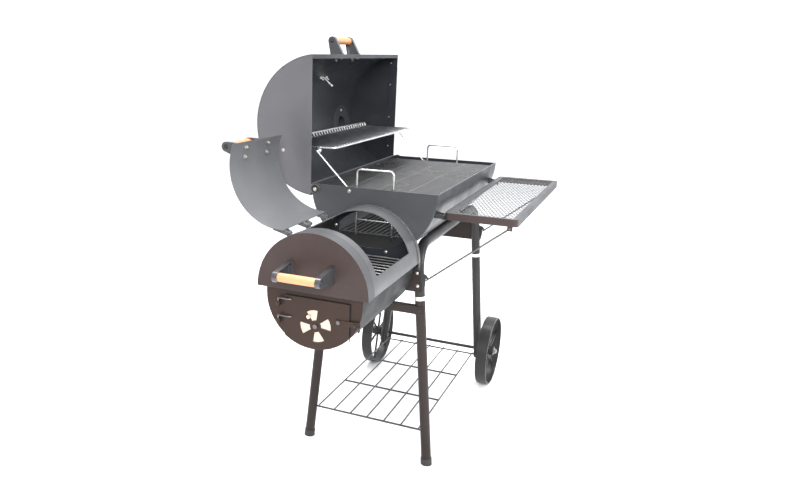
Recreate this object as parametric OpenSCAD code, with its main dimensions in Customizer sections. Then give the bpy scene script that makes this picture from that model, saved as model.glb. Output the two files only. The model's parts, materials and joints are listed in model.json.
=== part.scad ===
// Offset smoker: a barrel chamber with a side firebox on a wheeled tube stand.
// Lengths are measured from the near end of the chamber in x, from the barrel's
// middle plane in y and from the floor in z. The lid and the hatch stand open.

/* [Chamber] */
// Length of the chamber
chamber_len = 700; // [640:10:760]
// Outer radius of the chamber's lower half
chamber_r = 190; // [184:1:191]
// Height of the chamber's rim
rim_z = 836; // [830:1:840]
// Thickness of the steel sheet
sheet = 2; // [1.6:0.1:2.2]

/* [Lid] */
// Outer radius of the lid
lid_r = 197.5; // [196:0.5:199]
// Distance from the lid's own axis to its open face
lid_inset = 20; // [18:1:22]
// Height of the lid hinge
hinge_z = 822; // [820:1:824]
// Distance of the lid hinge behind the barrel's middle plane
hinge_y = 176; // [174:1:178]

/* [Firebox] */
// Length of the firebox hood
firebox_len = 389; // [380:1:400]
// Outer radius of the hood
hood_r = 150; // [148:1:152]
// Height of the seam between hood and trough
seam_z = 642; // [640:1:644]
// Outer radius of the trough
trough_r = 131; // [128:1:133]
// Height of the trough's axis
trough_z = 623; // [620:1:626]

/* [Stand] */
// Outer radius of the frame tube
tube_r = 15; // [14:0.5:16]
// Distance of the legs from the ends of the chamber
leg_inset = 24; // [22:1:28]
// Half the distance between front and rear feet
foot_y = 200; // [195:1:205]
// Outward lean of the legs in degrees
splay = 5.57; // [5:0.1:6]
// Outer radius of the wheels
wheel_r = 128; // [122:1:134]
// Width of the wheel rims
wheel_w = 40; // [36:1:44]

/* [Shelf] */
// Depth of the front shelf
shelf_depth = 198; // [180:1:210]
// Height of the front shelf
shelf_z = 789; // [785:1:792]

/* [Hidden] */
$fn = 64;
far_x = chamber_len;
inner_r = chamber_r - sheet;
lid_axis_y = hinge_y - 4;
lid_axis_z = hinge_z + hinge_y;
lid_face_y = lid_axis_y + lid_inset;
lid_in = lid_r - sheet;
lid_near = -3;
lid_len = chamber_len + 6;
near_leg_x = leg_inset;
far_leg_x = far_x - leg_inset + 4;
tube_wall = 1.5;
run_s = 683;
bend_r = 75;
near_joint_s = 533;
far_joint_s = 502;
joint_h = 11;
wheel_inner_y = 204;
wheel_x = far_leg_x + 22;
axle_r = 6;
axle_end = 249;
pin_gap = 0.05;

// Handles
grip_r = 10.8;
lid_grip_half = 70;
hatch_grip_half = 62;
carry_grip_half = 60;
strap = 2;
strap_w = 13;
ring_r = 13;
lid_handle_angle = 69.5;
lid_reach = 56;
carry_reach = 74;
carry_z = 697;

// Hatch: hinged along the rear edge of the hood's opening
hatch_near = -326;
hatch_far = -69;
hatch_open = 143;
hatch_hinge = [104, 763];
hatch_gap = 0.3;
hood_in = hood_r - 2 * sheet;
hood_skin = hood_r - sheet;
open_near = -320;
open_far = -75;
open_front = 163;
open_rear = 58;

// Warming rack linkage: a parallelogram between the lid and the chamber
link = [106.5, 105];
strut_foot = [71, 824];
rack_pivot = [hinge_y + link[0], hinge_z + link[1]];
strut_top = [strut_foot[0] + link[0], strut_foot[1] + link[1]];
rack_z = 938;
rack_front = 124;
rack_rear = 298;
rack_near = 25;
rack_far = far_x - 25;

// Chimney and thermometer in the lid
chimney_x = 600;
chimney_z = 945;
chimney_r = 35;
chimney_len = 190;
cap_pin_z = chimney_z + chimney_r + 5;
thermo_x = 350;
thermo_angle = 39.5;

// Grates
grate_z = 826;
grate_gap = 24;
coal_z = 698;
coal_half_y = 112;
loop_x = 17;
loop_half_y = 55;
loop_top = 885;

// Firebox door
door_x = -380;
trough_len = 375;
door_axis = [-384, 94];
door_left = 78;
door_right = -98;
door_top = 625;
vent_c = [-8, 555];
vent_out = 42;
vent_in = 15;
vent_start = 53.5;
vent_sweep = 45;
vent_cover = 4;
knob_angle = 61;
latch_pivot = [-71, 577];
latch_pin = [-114, 575];

// Shelf
shelf_inner = -207;
shelf_near = 8;
shelf_far = far_x + 2;
shelf_rim = 20;
shelf_axis = [-203, 772];
stay_top = [-385, 763];
stay_foot = [-169, 590];
stay_near = 14;
stay_far = far_x - 10;

// The origin is at the bottom centre of the whole object
x_low = -firebox_len - carry_reach - ring_r;
x_high = wheel_x + wheel_r;
y_low = shelf_inner - shelf_depth;
y_high = lid_axis_y + lid_in + chimney_len;
mid_x = (x_low + x_high) / 2;
mid_y = (y_low + y_high) / 2;

// ---------- helpers ----------
module place() translate([-mid_x, -mid_y, 0]) children();

// Extrudes a (y, z) outline along x
module along(x, len) translate([x, 0, 0]) rotate([90, 0, 90]) linear_extrude(len) children();

module disc(x1, x2, c, r) translate([x1, c[0], c[1]]) rotate([0, 90, 0]) cylinder(r = r, h = x2 - x1);

module rod(a, b, r) {
    v = b - a;
    translate(a) rotate([0, acos(v[2] / norm(v)), atan2(v[1], v[0])]) cylinder(r = r, h = norm(v));
}

// A bent wire through a list of points
module wire(points, r) {
    for (i = [1:len(points) - 1]) rod(points[i - 1], points[i], r);
    for (i = [1:1:len(points) - 2]) translate(points[i]) sphere(r + 0.06);
}

module wedge(a1, a2, r = 600) polygon(concat([[0, 0]],
    [for (i = [0:6]) let (a = a1 + (a2 - a1) * i / 6) [r * cos(a), r * sin(a)]]));

module band(r_out, r_in, a1, a2) intersection() {
    difference() {
        circle(r_out);
        circle(r_in);
    }
    wedge(a1, a2);
}

// Two pieces, one at each end of the chamber
module both_ends() {
    children();
    translate([far_x, 0, 0]) mirror([1, 0, 0]) children();
}

// ---------- stand ----------
module leg_frame(x, side) translate([x, side * foot_y, 0]) rotate([side * splay, 0, 0]) children();

module hollow(r, h) difference() {
    cylinder(r = r, h = h);
    translate([0, 0, -1]) cylinder(r = r - tube_wall, h = h + 2);
}

module bend() rotate([90, 0, 0]) rotate_extrude(angle = 90) translate([bend_r, 0]) difference() {
    circle(tube_r);
    circle(tube_r - tube_wall);
}

module frame_tube(side) place() leg_frame(0, side) {
    near_h = run_s - bend_r - near_joint_s - joint_h / 2;
    far_h = run_s - bend_r - far_joint_s - joint_h / 2;
    translate([near_leg_x, 0, near_joint_s + joint_h / 2]) hollow(tube_r, near_h);
    translate([far_leg_x, 0, far_joint_s + joint_h / 2]) hollow(tube_r, far_h);
    translate([near_leg_x + bend_r, 0, run_s - bend_r]) mirror([1, 0, 0]) bend();
    translate([far_leg_x - bend_r, 0, run_s - bend_r]) bend();
    translate([near_leg_x + bend_r, 0, run_s]) rotate([0, 90, 0])
        hollow(tube_r, far_leg_x - near_leg_x - 2 * bend_r);
}

module front_frame_tube() color([0.36, 0.36, 0.35]) frame_tube(-1);
module rear_frame_tube() color([0.36, 0.36, 0.35]) frame_tube(1);

module near_legs() color([0.3, 0.25, 0.24]) place() for (side = [-1, 1])
    leg_frame(near_leg_x, side) translate([0, 0, 4]) hollow(tube_r, near_joint_s - joint_h / 2 - 4);

module far_legs() color([0.26, 0.25, 0.25]) place() for (side = [-1, 1]) difference() {
    union() {
        leg_frame(far_leg_x, side) translate([0, 0, 104]) hollow(tube_r, far_joint_s - joint_h / 2 - 104);
        translate([far_leg_x + tube_r - 3, side * leg_y(wheel_r) - 2, wheel_r - 16]) cube([22, 4, 32]);
    }
    rod([wheel_x, -axle_end, wheel_r], [wheel_x, axle_end, wheel_r], axle_r + 0.02);
}

module leg_collars() color([0.88, 0.93, 0.88]) place() for (side = [-1, 1])
    for (p = [[near_leg_x, near_joint_s], [far_leg_x, far_joint_s]])
        leg_frame(p[0], side) translate([0, 0, p[1]]) {
            cylinder(r = tube_r + 0.8, h = joint_h, center = true);
            cylinder(r = tube_r - tube_wall - 0.1, h = joint_h + 30, center = true);
        }

module foot_caps() color([0.08, 0.08, 0.08]) place() for (side = [-1, 1]) intersection() {
    leg_frame(near_leg_x, side) translate([0, 0, -4]) difference() {
        cylinder(r = tube_r + 1.8, h = 26);
        translate([0, 0, 8]) cylinder(r = tube_r + 0.1, h = 30);
    }
    translate([near_leg_x - 40, side * foot_y - 40, 0]) cube([80, 80, 60]);
}

function leg_y(z) = foot_y - z * tan(splay);

// Sheet plates between the front and rear legs, cut to the barrel
module cradle_outline() {
    low = 552;
    top = 617;
    difference() {
        polygon([[-leg_y(low) - 11, low], [leg_y(low) + 11, low],
            [leg_y(top) + 11, top - 6], [leg_y(top) + 5, top],
            [leg_y(top) - 22, top + 26], [-leg_y(top) + 22, top + 26],
            [-leg_y(top) - 5, top], [-leg_y(top) - 11, top - 6]]);
        translate([0, rim_z]) circle(chamber_r + 0.3);
    }
}

module cradle_plates() color([0.24, 0.19, 0.17]) place() {
    along(near_leg_x - tube_r - sheet, sheet) cradle_outline();
    along(far_leg_x + tube_r, sheet) cradle_outline();
}

// Angle bar between the near legs
module crossbar() color([0.29, 0.22, 0.2]) place() {
    low = 484;
    high = 508;
    span = leg_y(496) + 18;
    x = near_leg_x - tube_r - sheet;
    translate([x, -span, low]) cube([sheet, 2 * span, high - low]);
    translate([x, 30 - span, high - sheet]) cube([20, 2 * span - 60, sheet]);
}

// Notched plates on the front legs that hold the shelf stays
module stay_hooks() color([0.1, 0.1, 0.1]) place() for (x = [stay_near - 5, stay_far - 5])
    along(x, 2) polygon([[-150, 548], [-158, 548], [-163, 560], stay_foot + [3.2, -15],
        stay_foot + [3.2, 4], stay_foot + [-4, 4], stay_foot + [-4, 8], [-166, 606], [-150, 610]]);

module wire_shelf() color([0.12, 0.11, 0.11]) place() {
    z = 110;
    half = 168;
    reach = leg_y(z) - tube_r - 0.5;
    r = 2.5;
    wires = 7;
    bars = 4;
    for (i = [0:bars - 1]) {
        x = near_leg_x + (far_leg_x - near_leg_x) * i / (bars - 1);
        end = (i == 0 || i == bars - 1) ? reach : half;
        rod([x, -end, z], [x, end, z], r + 0.5);
    }
    for (i = [0:wires - 1]) {
        y = -half + 2 * half * i / (wires - 1);
        rod([near_leg_x - 3, y, z + 3], [far_leg_x + 3, y, z + 3], r);
    }
}

module axle() color([0.15, 0.15, 0.15]) place()
    rod([wheel_x, -axle_end, wheel_r], [wheel_x, axle_end, wheel_r], axle_r);

module wheel(side) {
    hub_w = wheel_w + 2;
    y0 = side * (wheel_inner_y + wheel_w / 2);
    translate([wheel_x, y0, wheel_r]) rotate([90, 0, 0]) difference() {
        union() {
            difference() {
                cylinder(r = wheel_r, h = wheel_w, center = true, $fn = 120);
                cylinder(r = wheel_r - 3, h = wheel_w + 2, center = true, $fn = 120);
            }
            cylinder(r = 17, h = hub_w, center = true);
            for (a = [0:60:300]) rotate([0, 0, a + 15]) translate([14, 0, 0]) rotate([0, 90, 0])
                cylinder(r = 4.5, h = wheel_r - 16);
        }
        cylinder(r = axle_r + pin_gap, h = hub_w + 2, center = true);
    }
}

module front_wheel() color([0.13, 0.13, 0.13]) place() wheel(-1);
module rear_wheel() color([0.13, 0.13, 0.13]) place() wheel(1);

// A bolt along x: a domed head at x1 and a nut at x2
module bolt_x(x1, x2, c, r) {
    dir = x2 > x1 ? 1 : -1;
    disc(min(x1, x2), max(x1, x2), c, r);
    disc(min(x1, x1 - dir * r * 0.6), max(x1, x1 - dir * r * 0.6), c, r * 1.35);
}

module frame_bolts() color([0.62, 0.6, 0.52]) place() {
    leg_face = near_leg_x - tube_r - sheet;
    far_face = far_leg_x + tube_r + sheet;
    for (side = [-1, 1]) {
        for (z = [570, 608]) {
            bolt_x(leg_face, leg_face + 6, [side * leg_y(z), z], 4);
            bolt_x(far_face, far_face - 6, [side * leg_y(z), z], 4);
        }
        bolt_x(leg_face, leg_face + 6, [side * leg_y(496), 496], 4);
        
        rod([wheel_x, side * (axle_end - 1), wheel_r], [wheel_x, side * (axle_end + 5), wheel_r], 9.5);
        rod([wheel_x, side * (wheel_inner_y - 1.3), wheel_r],
            [wheel_x, side * (wheel_inner_y - 3), wheel_r], 13);
    }
    for (y = [-47, 110]) bolt_x(-sheet, 6, [y, y > 0 ? 722 : 660], 4);
    both_ends() disc(-5, 11, strut_foot, 3);
    both_ends() disc(-5, 0, strut_foot, 5);
    for (x = [-330, -60]) for (side = [-1, 1])
        rod([x, side * 139, seam_z - 6], [x, side * 139, seam_z + 6], 4);
    disc(-386, -372, latch_pin, 3);
}

// ---------- chamber ----------
module chamber_shell() color([0.25, 0.27, 0.3]) place() along(0, chamber_len)
    translate([0, rim_z]) band(chamber_r, inner_r, 180, 360);

// The passage to the firebox: inside the barrel and inside the hood
module passage() intersection() {
    translate([0, rim_z]) circle(chamber_r - 20);
    translate([0, seam_z]) circle(hood_in - 12);
    translate([-100, 600]) square([200, 300]);
}

module end_outline() translate([0, rim_z]) difference() {
    circle(inner_r);
    translate([-300, 0]) square([600, 300]);
}

module end_plate() {
    along(0, sheet) end_outline();
    translate([sheet, -inner_r + 4, rim_z - sheet]) cube([2, 2 * inner_r - 8, sheet]);
}

module chamber_near_end() color([0.35, 0.33, 0.33]) place() difference() {
    end_plate();
    along(-1, sheet + 2) passage();
}

module chamber_far_end() color([0.25, 0.26, 0.28]) place()
    translate([far_x, 0, 0]) mirror([1, 0, 0]) end_plate();

module lid_hinge_pins() color([0.2, 0.2, 0.2]) place() both_ends() {
    disc(-0.7, 0, [hinge_y, hinge_z], 17.5);
    disc(-6, 7, [hinge_y, hinge_z], 4);
    disc(-6.5, -3.3, [hinge_y, hinge_z], 7);
    disc(2, 6, [hinge_y, hinge_z], 6);
}

// Angle ledges along both long sides
module grate_ledges() color([0.16, 0.17, 0.18]) place() for (side = [-1, 1]) {
    y_wall = 186;
    translate([20, side > 0 ? y_wall - 16 : -y_wall, grate_z - 1.8]) cube([chamber_len - 40, 16, 1.5]);
    translate([20, side > 0 ? y_wall - 1.5 : -y_wall, grate_z - 15.8]) cube([chamber_len - 40, 1.5, 14]);
}

// A grate of wires along y on three cross rods
module cooking_grate(x1, x2) {
    half = 182;
    pitch = 9.6;
    count = floor((x2 - x1 - 4) / pitch);
    step = (x2 - x1 - 4) / count;
    translate([0, 0, grate_z]) linear_extrude(3.4) {
        for (i = [0:count]) translate([x1 + 2 + i * step - 1.7, -half]) square([3.4, 2 * half]);
        for (y = [-174, 0, 174]) translate([x1, y - 2.5]) square([x2 - x1, 5]);
    }
}

module cooking_grate_near() color([0.1, 0.1, 0.1]) place() {
    cooking_grate(grate_gap, far_x / 2 - 1);
    for (y = [-150, 150]) rod([11, y, grate_z + 2], [grate_gap + 3, y, grate_z + 2], 2);
}

module cooking_grate_far() color([0.1, 0.1, 0.1]) place()
    cooking_grate(far_x / 2 + 1, far_x - grate_gap);

module charcoal_grate() color([0.13, 0.13, 0.13]) place() translate([0, 0, coal_z]) linear_extrude(5) {
    bars = 14;
    for (i = [0:bars]) translate([loop_x + 5, -coal_half_y + 2 * coal_half_y * i / bars - 2.5])
        square([chamber_len - 2 * loop_x - 10, 5]);
    for (x = [loop_x + 5, far_x / 2, far_x - loop_x - 11]) translate([x, -coal_half_y])
        square([6, 2 * coal_half_y]);
}

// Clips on the end panels that carry the charcoal grate
module charcoal_rests() color([0.2, 0.2, 0.21]) place() both_ends() for (y = [-118, 104]) {
    translate([sheet, y, coal_z - 2.3]) cube([30, 14, 2]);
    translate([sheet, y, coal_z - 2.3]) cube([2, 14, 20]);
}

// Handles that lift the charcoal grate
module lift_loops() color([0.8, 0.8, 0.78]) place() both_ends() {
    r = 3;
    wire([[loop_x + 6, loop_half_y, coal_z - r], [loop_x, loop_half_y, coal_z - r],
        [loop_x, loop_half_y, loop_top - 12], [loop_x, loop_half_y - 12, loop_top],
        [loop_x, 12 - loop_half_y, loop_top], [loop_x, -loop_half_y, loop_top - 12],
        [loop_x, -loop_half_y, coal_z - r], [loop_x + 6, -loop_half_y, coal_z - r]], r);
    rod([loop_x, -loop_half_y, 741], [loop_x, loop_half_y, 741], 2);
}

// ---------- lid ----------
module lid_centre() translate([0, lid_axis_y, lid_axis_z]) children();

lid_half = sqrt(lid_r * lid_r - lid_inset * lid_inset);

module lid_cut(r) difference() {
    circle(r);
    translate([lid_inset - 400, -300]) square([400, 600]);
}

module chimney_hole(r)
    translate([chimney_x, lid_axis_y, chimney_z]) rotate([-90, 0, 0]) cylinder(r = r, h = 400);

module lid_shell() color([0.25, 0.27, 0.29]) place() difference() {
    union() {
        lid_centre() along(lid_near, lid_len) difference() {
            lid_cut(lid_r);
            circle(lid_in);
        }
        lid_centre() along(lid_near + sheet, lid_len - 2 * sheet)
            translate([lid_inset, lid_half - 12]) square([sheet, 11]);
    }
    chimney_hole(chimney_r - 2);
}

module lid_ear(x) along(x, sheet) difference() {
    union() {
        translate([hinge_y, hinge_z]) circle(13);
        translate([hinge_y, hinge_z - 13]) square([lid_inset, 26]);
    }
    translate([hinge_y, hinge_z]) circle(4 + pin_gap);
}

module lid_end(x) {
    difference() {
        lid_centre() along(x, sheet) lid_cut(lid_in);
        disc(x - 1, x + sheet + 1, [hinge_y, hinge_z], 4 + pin_gap);
    }
    lid_ear(x);
}

module lid_near_end() color([0.44, 0.42, 0.42]) place() lid_end(lid_near);
module lid_far_end() color([0.2, 0.22, 0.25]) place() lid_end(lid_near + lid_len - sheet);

module lid_seal_strips() color([0.17, 0.18, 0.2]) place() both_ends()
    along(-1, 1.6) translate([lid_face_y, hinge_z + 30]) square([28, 2 * lid_half - 60]);

module lid_radial(a, x, r)
    translate([x, lid_axis_y, lid_axis_z]) rotate([a, 0, 0]) translate([0, r, 0]) children();

module lid_bolts() color([0.66, 0.64, 0.56]) place() {
    both_ends() for (z = [870, 975, 1090, 1165]) disc(-4, 1.6, [lid_face_y + 24, z], 2.5);
    both_ends() {
        disc(-6, 22, rack_pivot, 3);
        disc(-6.5, -3, rack_pivot, 6);
    }
    for (x = [thermo_x - 65, thermo_x + 65]) for (d = [-9, 9])
        lid_radial(lid_handle_angle + d / lid_r * 57.3, x, lid_in - 4) rotate([-90, 0, 0])
            cylinder(r = 3, h = 11);
    for (z = [chimney_z - 52, chimney_z + 52]) translate([chimney_x, lid_axis_y + 170, z])
        rotate([-90, 0, 0]) cylinder(r = 4, h = 32);
}

// ---------- handles ----------
function tangent(p, c, r, s) = let (d = norm(c - p), f = atan2(c[1] - p[1], c[0] - p[0]),
    b = asin(r / d), t = sqrt(d * d - r * r)) p + t * [cos(f + s * b), sin(f + s * b)];

module strap_outline(w, reach, r) {
    c = [0, reach];
    polygon([[-w / 2, 0], [w / 2, 0], tangent([w / 2, 0], c, r, -1), tangent([-w / 2, 0], c, r, 1)]);
    translate(c) circle(r);
}

// One handle bracket: its outer face is at x = 0 and its open side towards +x
module bracket(reach, foot_r, sink) {
    w = 44;
    difference() {
        rotate([90, 0, 90]) linear_extrude(strap_w) strap_outline(w, reach, ring_r);
        translate([strap, 0, 0]) rotate([90, 0, 90]) linear_extrude(strap_w) intersection() {
            strap_outline(w - 5, reach, ring_r - strap);
            translate([-100, strap + 1]) square([200, 300]);
        }
        if (foot_r > 0) translate([-1, 0, sink - foot_r]) rotate([0, 90, 0])
            cylinder(r = foot_r + 0.05, h = strap_w + 2);
    }
}

module bracket_pair(half, reach, foot_r = 0, sink = 0) for (side = [0, 1]) mirror([side, 0, 0])
    translate([-half - strap, 0, 0]) bracket(reach, foot_r, sink);

module grip(half, reach) translate([-half, 0, reach]) rotate([0, 90, 0]) cylinder(r = grip_r, h = 2 * half);

// Handle axes: z points away from the surface that carries the handle
module on_lid() lid_radial(lid_handle_angle, thermo_x, lid_r) rotate([-90, 0, 0]) children();
module on_hood_end() translate([-firebox_len, 0, carry_z]) rotate([0, -90, 0]) rotate([0, 0, 90]) children();
module on_hatch() hatch_at_rest() translate([(hatch_near + hatch_far) / 2, 0, seam_z]) rotate([143 + 11, 0, 0])
    translate([0, hood_r + hatch_gap, 0]) rotate([-90, 0, 0]) children();

module lid_handle_brackets() color([0.3, 0.31, 0.33]) place() on_lid() translate([0, 0, -1.3])
    bracket_pair(lid_grip_half, lid_reach, lid_r, 1.3);
module lid_grip() color([0.93, 0.62, 0.36]) place() on_lid() grip(lid_grip_half, lid_reach - 1.3);
module carry_handle_brackets() color([0.2, 0.21, 0.23]) place()
    on_hood_end() bracket_pair(carry_grip_half, carry_reach);
module carry_grip() color([0.93, 0.62, 0.36]) place() on_hood_end() grip(carry_grip_half, carry_reach);

// ---------- thermometer and chimney ----------
module thermometer() color([0.75, 0.75, 0.73]) place() lid_radial(thermo_angle, thermo_x, lid_r) {
    rotate([-90, 0, 0]) {
        translate([0, 0, 1.5]) cylinder(r = 30, h = 9);
        cylinder(r = 24, h = 2);
        translate([0, 0, -44]) cylinder(r = 2.2, h = 44.5);
        translate([0, 0, -46]) cylinder(r = 3, h = 5);
        for (s = [-1, 1]) translate([s * 21, 0, -17]) {
            cylinder(r = 2, h = 17.5);
            translate([0, 0, 10]) cylinder(r = 4.5, h = 4);
        }
    }
}

module saddle(r_in, r_out, size) intersection() {
    lid_centre() along(chimney_x - size, 2 * size) difference() {
        circle(r_out);
        circle(r_in);
    }
    translate([chimney_x, lid_axis_y + 100, chimney_z]) rotate([-90, 0, 0]) cylinder(r = size, h = 200);
}

module vent_plate() color([0.19, 0.2, 0.21]) place() difference() {
    saddle(lid_in - 1.8, lid_in - 0.2, 72);
    chimney_hole(chimney_r - 2);
}

module chimney_pipe() color([0.22, 0.23, 0.25]) place() {
    difference() {
        union() {
            saddle(lid_r + 0.1, lid_r + 1.8, 66);
            difference() {
                translate([chimney_x, lid_axis_y + 170, chimney_z]) rotate([-90, 0, 0])
                    cylinder(r = chimney_r, h = lid_in + chimney_len - 170 - 3);
                lid_centre() along(chimney_x - 80, 160) circle(lid_r + 0.1);
            }
        }
        chimney_hole(chimney_r - 2);
    }
    translate([chimney_x, y_high - 18, cap_pin_z]) rotate([-90, 0, 0]) difference() {
        cylinder(r = 6, h = 14);
        translate([0, 0, -1]) cylinder(r = 2.5 + pin_gap, h = 16);
    }
}

// Swivelling cap that turns on a pin beside the pipe
module chimney_cap() color([0.22, 0.23, 0.25]) place() {
    translate([chimney_x, y_high - 2, chimney_z]) rotate([-90, 0, 0]) cylinder(r = chimney_r + 5, h = 2);
    translate([chimney_x, y_high - 20, cap_pin_z]) rotate([-90, 0, 0])
        cylinder(r = 2.5, h = 19);
    translate([chimney_x, y_high - 2, cap_pin_z]) rotate([-90, 0, 0])
        cylinder(r = 6, h = 2);
}

// ---------- warming rack ----------
// Flat bars across a frame, for the rack's deck and its rear fence
module ladder(len, depth, count, rim) {
    difference() {
        square([len, depth]);
        translate([rim, rim]) square([len - 2 * rim, depth - 2 * rim]);
    }
    for (i = [1:count - 1]) translate([rim + (len - 2 * rim) * i / count - 1.3, rim / 2])
        square([2.6, depth - rim]);
}

module rack_lug(c, hole) along(rack_near - 6, 4.6) difference() {
    union() {
        translate(c) circle(6.5);
        translate([c[0] - 5, c[1]]) square([10, rack_z + 2 - c[1]]);
    }
    translate(c) circle(hole);
}

module warming_rack() color([0.82, 0.83, 0.82]) place() {
    len = rack_far - rack_near + 5;
    translate([rack_near - 2.5, rack_front, rack_z - 2.5]) linear_extrude(5)
        ladder(len, rack_rear - rack_front, 30, 5);
    translate([rack_near - 1.5, rack_rear - 1.7, rack_z - 1.2]) rotate([65, 0, 0]) linear_extrude(3)
        ladder(len - 2, 20, 27, 4);
    both_ends() {
        rack_lug(rack_pivot, 3 + pin_gap);
        rack_lug(strut_top, 3.1);
    }
}

// Bent wire struts between the chamber ends and the rack
module rack_struts() color([0.85, 0.85, 0.84]) place() both_ends() {
    difference() {
        disc(5, 9, strut_foot, 7);
        disc(4, 10, strut_foot, 3 + pin_gap);
    }
    dir = link / norm(link);
    start = strut_foot + 5.5 * dir;
    wire([[7, start[0], start[1]], [7, strut_top[0], strut_top[1]],
        [rack_near - 1, strut_top[0], strut_top[1]]], 2.3);
}

// ---------- firebox ----------
module trough_outline(r) {
    translate([0, trough_z]) difference() {
        circle(r);
        translate([-300, 0]) square([600, 300]);
    }
    translate([-r, trough_z]) square([2 * r, seam_z - trough_z]);
}

module firebox_trough() color([0.3, 0.31, 0.32]) place() {
    along(-trough_len + sheet, trough_len - sheet) {
        difference() {
            trough_outline(trough_r);
            trough_outline(trough_r - sheet);
            translate([-trough_r + sheet, trough_z]) square([2 * (trough_r - sheet), 60]);
        }
    }
    for (side = [-1, 1]) translate([sheet - trough_len, side > 0 ? trough_r - sheet : 0.5 - hood_in, seam_z])
        cube([trough_len - 2 * sheet - 0.5, hood_in - trough_r + sheet - 0.5, sheet]);
}

// The end plate of the trough, with the ash door's opening
module firebox_front() color([0.33, 0.26, 0.22]) place() along(-trough_len, sheet) difference() {
    union() {
        trough_outline(trough_r);
        translate([-trough_r, seam_z - 1]) square([2 * trough_r, 8]);
    }
    intersection() {
        translate([0, trough_z]) circle(trough_r - 15);
        translate([-78, 480]) square([140, 124]);
    }
}

module hood_face(r) translate([0, seam_z]) difference() {
    circle(r);
    translate([-300, -300]) square([600, 300]);
}

module firebox_inner_wall() color([0.13, 0.14, 0.2]) place() along(-sheet, sheet) difference() {
    union() {
        hood_face(hood_in - 0.3);
        trough_outline(trough_r - sheet - 0.3);
    }
    passage();
}

module firebox_hood() color([0.42, 0.43, 0.44]) place() difference() {
    union() {
        along(-firebox_len + sheet, firebox_len - sheet - 3)
            translate([0, seam_z]) band(hood_skin, hood_in, 0, 180);
        along(-14, 14) translate([0, seam_z]) band(hood_r, hood_in, 0, 180);
    }
    along(open_near, open_far - open_near) translate([0, seam_z]) wedge(open_rear, open_front);
}

module firebox_hood_end() color([0.35, 0.32, 0.31]) place() {
    along(-firebox_len, sheet) hood_face(hood_r);
    along(-firebox_len + sheet, 37) translate([0, seam_z]) band(hood_r, hood_skin, 0, 180);
}

module firebox_grate() color([0.12, 0.12, 0.12]) place() translate([0, 0, seam_z + sheet]) linear_extrude(6) {
    bars = 22;
    half = 134;
    x1 = -360;
    x2 = -14;
    for (i = [0:bars]) translate([x1 + (x2 - x1 - 7) * i / bars, -half]) square([7, 2 * half]);
    for (y = [-half, -4, half - 8]) translate([x1, y]) square([x2 - x1, 8]);
}

// ---------- hatch ----------
module hatch_at_rest() translate([0, hatch_hinge[0], hatch_hinge[1]]) rotate([-hatch_open, 0, 0])
    translate([0, -hatch_hinge[0], -hatch_hinge[1]]) children();

hatch_in = hood_skin + hatch_gap;
hatch_out = hatch_in + sheet;

module hatch_plate() color([0.42, 0.43, 0.45]) place() hatch_at_rest()
    along(hatch_near, hatch_far - hatch_near) translate([0, seam_z]) band(hatch_out, hatch_in, 52, 165);

hinge_xs = [-306, -197.5, -89];

module hatch_hinge_arms() color([0.2, 0.2, 0.22]) place() hatch_at_rest()
    for (x = hinge_xs) for (side = [-1, 1]) {
        w = (x == hinge_xs[1]) ? 12 : 5;
        along(x + side * (w / 2 + 5.3) - w / 2, w) difference() {
            union() {
                translate(hatch_hinge) circle(5);
                polygon([hatch_hinge + [1, 5], hatch_hinge + [-3, -4], [86, 760], [64, 778], [68, 783]]);
            }
            translate([0, seam_z]) circle(hatch_out);
            translate(hatch_hinge) circle(2.5 + pin_gap);
        }
    }

module hatch_handle_brackets() color([0.3, 0.31, 0.33]) place() on_hatch() translate([0, 0, -1.7])
    bracket_pair(hatch_grip_half, lid_reach, hatch_out, 1.7);
module hatch_grip() color([0.93, 0.62, 0.36]) place() on_hatch() grip(hatch_grip_half, lid_reach - 1.7);

// Pins in short lugs that stand on the hood
module hatch_hinge_pins() color([0.4, 0.41, 0.42]) place() for (x = hinge_xs) {
    w = (x == hinge_xs[1]) ? 12 : 5;
    disc(x - w - 6.5, x + w + 6.5, hatch_hinge, 2.5);
    along(x - 5, 10) difference() {
        union() {
            translate(hatch_hinge) circle(4.5);
            polygon([hatch_hinge + [4.4, -1], hatch_hinge + [-4.4, 1], [93.5, 753], [106, 738]]);
        }
        translate([0, seam_z]) circle(hood_skin);
    }
}

// ---------- ash door ----------
module door_plate() color([0.31, 0.25, 0.22]) place() difference() {
    along(door_x, sheet) intersection() {
        translate([0, trough_z]) circle(trough_r - 1);
        translate([door_right, 400]) square([door_left - door_right, door_top - 400]);
    }
    along(door_x - 1, sheet + 2) translate(vent_c) for (k = [0:3]) intersection() {
        difference() {
            circle(vent_out);
            circle(vent_in);
        }
        wedge(vent_start + 90 * k, vent_start + vent_sweep + 90 * k);
    }
}

module door_fittings() color([0.3, 0.28, 0.28]) place() {
    x = door_axis[0];
    y = door_axis[1];
    for (z = [616, 570]) wire([[door_x - 1.5, 58, z], [x, 66, z], [x, y, z], [x, y, z - 22]], 2.5);
    disc(door_x - 5, door_x + 1, latch_pivot, 3);
    disc(door_x - 6, door_x - 3, latch_pivot, 5);
    disc(door_x - 3, door_x + 3.6, vent_c, 3);
    disc(door_x - 3, door_x, vent_c, 6);
}

module door_sockets() color([0.2, 0.17, 0.15]) place() for (z = [595, 549]) {
    translate([door_axis[0], door_axis[1], z]) difference() {
        union() {
            cylinder(r = 5.5, h = 12);
            translate([0, -4, 0]) cube([9, 8, 12]);
        }
        translate([0, 0, -1]) cylinder(r = 2.5 + pin_gap, h = 14);
    }
}

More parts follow.
